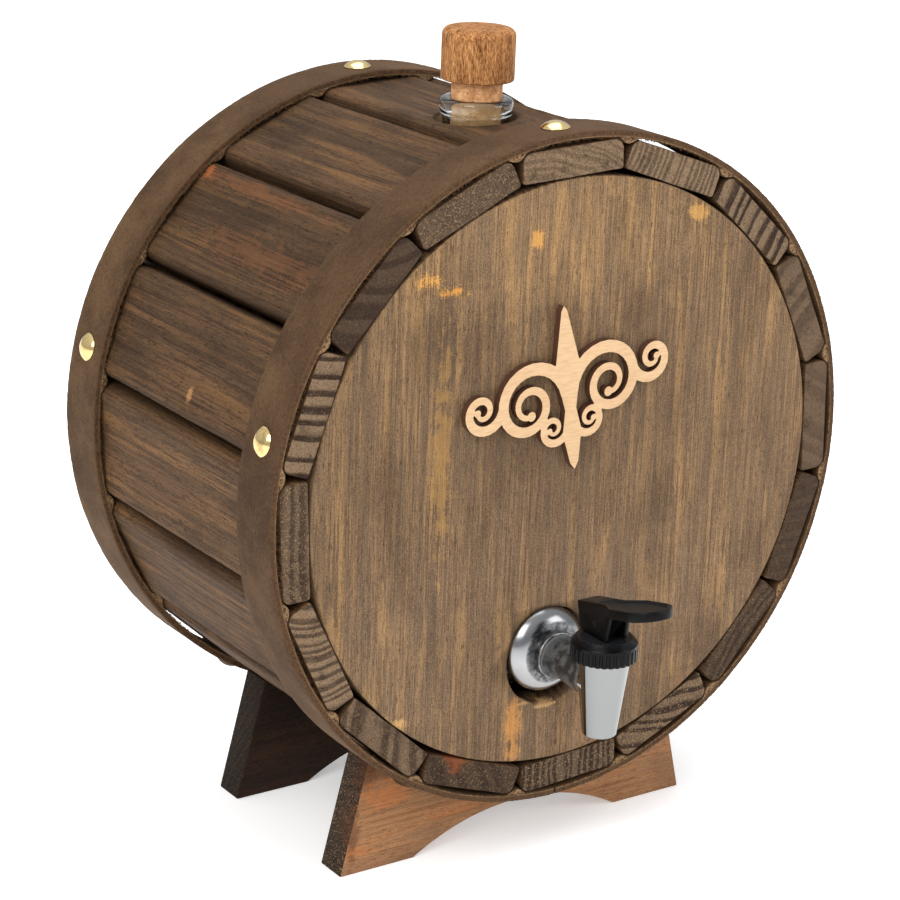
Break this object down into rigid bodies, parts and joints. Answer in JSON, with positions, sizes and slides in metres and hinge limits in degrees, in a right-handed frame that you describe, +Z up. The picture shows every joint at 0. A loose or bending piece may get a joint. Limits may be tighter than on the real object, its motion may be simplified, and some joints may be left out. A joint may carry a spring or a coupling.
{
  "type": "cask drinks dispenser",
  "caption": "Small table-top wooden cask on two arched stands, with an inner glass bottle, a wooden bar-top stopper and a chromed tap with a press-down lever.",
  "frame": {"origin": "centre of the base of the object's bounding box, on the table top under the cask", "axes": "+Z up, front of the cask (tap side) towards -Y, +X to the right as seen from the tap side; the barrel's axis runs along Y"},
  "size_m": [0.264, 0.2286, 0.3188],
  "materials": {
    "stave_wood": "dark stained sawn pine, matt",
    "head_wood": "mid-brown stained pine, matt",
    "front_stand_wood": "reddish brown stained pine, matt",
    "rear_stand_wood": "dark stained pine, matt",
    "strap_leather": "dark brown bonded leather, raw cut edges",
    "tack_brass": "polished",
    "screw_steel": "yellow zinc plated",
    "bottle_glass": "clear, gloss",
    "rest_wood": "raw pine",
    "stopper_wood": "orange-brown beech, matt",
    "cork": "pressed cork, matt",
    "spacer_rubber": "matt",
    "tap_chrome": "bright plated",
    "tap_black": "semi-gloss moulded",
    "silicone": "translucent white, satin",
    "pin_steel": "drawn wire",
    "ornament_wood": "light birch ply, edges darkened"
  },
  "bodies": {
    "cask": {"stave_01": "stave_wood", "stave_02": "stave_wood", "stave_03": "stave_wood", "stave_04": "stave_wood", "stave_05": "stave_wood", "stave_06": "stave_wood", "stave_07": "stave_wood", "stave_08": "stave_wood", "stave_09": "stave_wood", "stave_10": "stave_wood", "stave_11": "stave_wood", "stave_12": "stave_wood", "stave_13": "stave_wood", "stave_14": "stave_wood", "stave_15": "stave_wood", "stave_16": "stave_wood", "front_head": "head_wood", "rear_head": "head_wood", "front_hoop": "strap_leather", "rear_hoop": "strap_leather", "front_hoop_tacks": "tack_brass", "rear_hoop_tacks": "tack_brass", "front_stand": "front_stand_wood", "rear_stand": "rear_stand_wood", "stand_screws": "screw_steel", "glass_bottle": "bottle_glass", "bottle_rest": "rest_wood", "tap_spacer": "spacer_rubber", "tap_flange": "tap_chrome", "tap_body": "tap_chrome", "tap_ring_nut": "tap_black", "tap_gland": "silicone", "front_ornament": "ornament_wood"},
    "lever": {"tap_lever": "tap_black", "tap_lever_pin": "pin_steel"},
    "valve_stem": {"tap_stem": "tap_black", "tap_plug": "silicone"},
    "stopper": {"stopper_head": "stopper_wood", "stopper_cork": "cork"}
  },
  "joints": [
    {"name": "stem_lift", "type": "slide", "parent": "cask", "child": "valve_stem", "axis": [0, 0, 1], "range_m": [0, 0.00255]},
    {"name": "lever_press", "type": "hinge", "parent": "valve_stem", "child": "lever", "pos_m": [-0.0087, -0.08115, 0.1133], "axis": [1, 0, 0], "range_deg": [0, 22], "stiffness_Nm_per_rad": 0.3, "springref_deg": -22.92},
    {"name": "stopper_pull", "type": "slide", "parent": "cask", "child": "stopper", "axis": [0, 0, 1], "range_m": [0, 0.045]}
  ],
  "couplings": [
    {"joint": "stem_lift", "follows": "lever_press", "m_per_rad": 0.006511}
  ]
}
